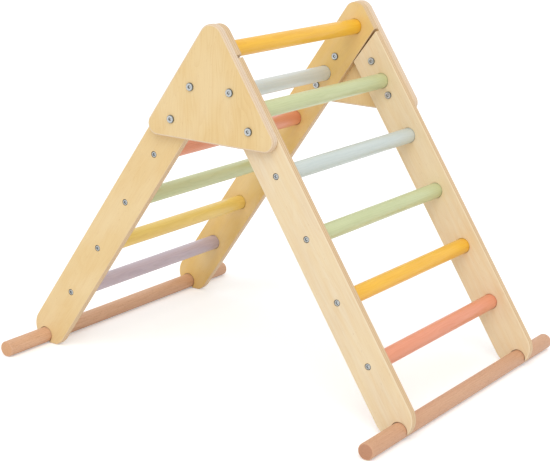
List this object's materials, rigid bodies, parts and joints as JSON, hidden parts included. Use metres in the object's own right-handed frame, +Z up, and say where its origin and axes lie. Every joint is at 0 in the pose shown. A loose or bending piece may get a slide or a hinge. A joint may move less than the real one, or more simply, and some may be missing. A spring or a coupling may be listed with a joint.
{
  "type": "folding climbing triangle",
  "caption": "Folding climbing triangle for small children: two ladders of round rungs between plywood rails, joined at the top by bolted side plates",
  "frame": {"origin": "on the floor, midway between the two base bars and midway between the two sides", "axes": "+X to the front (folding) ladder, +Y along the rungs to the far side, +Z up"},
  "size_m": [0.8442, 0.7, 0.665],
  "materials": {
    "birch_ply": "clear satin lacquer on birch plywood",
    "beech": "oiled solid beech dowel",
    "stain_lavender": "satin water-based stain on beech dowel, lavender",
    "stain_yellow": "satin water-based stain on beech dowel, warm yellow",
    "stain_green": "satin water-based stain on beech dowel, sage green",
    "stain_coral": "satin water-based stain on beech dowel, coral",
    "stain_blue": "satin water-based stain on beech dowel, pale blue",
    "zinc_steel": "bright zinc-plated steel"
  },
  "bodies": {
    "fixed_frame": {"rear_rail_near": "birch_ply", "rear_rail_far": "birch_ply", "rear_rung_1": "stain_lavender", "rear_rung_2": "stain_yellow", "rear_rung_3": "stain_green", "rear_rung_4": "stain_coral", "rear_rung_5": "stain_blue", "rear_rung_6": "stain_yellow", "rear_base_bar": "beech", "side_plate_near": "birch_ply", "side_plate_far": "birch_ply", "rear_rung_screws_near": "zinc_steel", "rear_rung_screws_far": "zinc_steel", "rear_bar_screws": "zinc_steel", "rear_plate_bolts_near": "zinc_steel", "rear_plate_bolts_far": "zinc_steel", "rear_sleeve_nuts_near": "zinc_steel", "rear_sleeve_nuts_far": "zinc_steel", "pivot_bolt_near": "zinc_steel", "pivot_bolt_far": "zinc_steel", "pivot_sleeve_nut_near": "zinc_steel", "pivot_sleeve_nut_far": "zinc_steel"},
    "folding_ladder": {"front_rail_near": "birch_ply", "front_rail_far": "birch_ply", "front_rung_1": "stain_coral", "front_rung_2": "stain_yellow", "front_rung_3": "stain_green", "front_rung_4": "stain_blue", "front_rung_5": "stain_green", "front_base_bar": "beech", "front_rung_screws_near": "zinc_steel", "front_rung_screws_far": "zinc_steel", "front_bar_screws": "zinc_steel", "lock_sleeve_nut_near": "zinc_steel", "lock_sleeve_nut_far": "zinc_steel"},
    "lock_bolt_near": {"lock_bolt_near": "zinc_steel"},
    "lock_bolt_far": {"lock_bolt_far": "zinc_steel"}
  },
  "joints": [
    {"name": "front_ladder_fold", "type": "hinge", "parent": "fixed_frame", "child": "folding_ladder", "pos_m": [0.08362, 0, 0.48906], "axis": [0, 1, 0], "range_deg": [0, 72]},
    {"name": "lock_bolt_near_pull", "type": "slide", "parent": "fixed_frame", "child": "lock_bolt_near", "axis": [0, -1, 0], "range_m": [0, 0.035]},
    {"name": "lock_bolt_far_pull", "type": "slide", "parent": "fixed_frame", "child": "lock_bolt_far", "axis": [0, 1, 0], "range_m": [0, 0.035]}
  ]
}
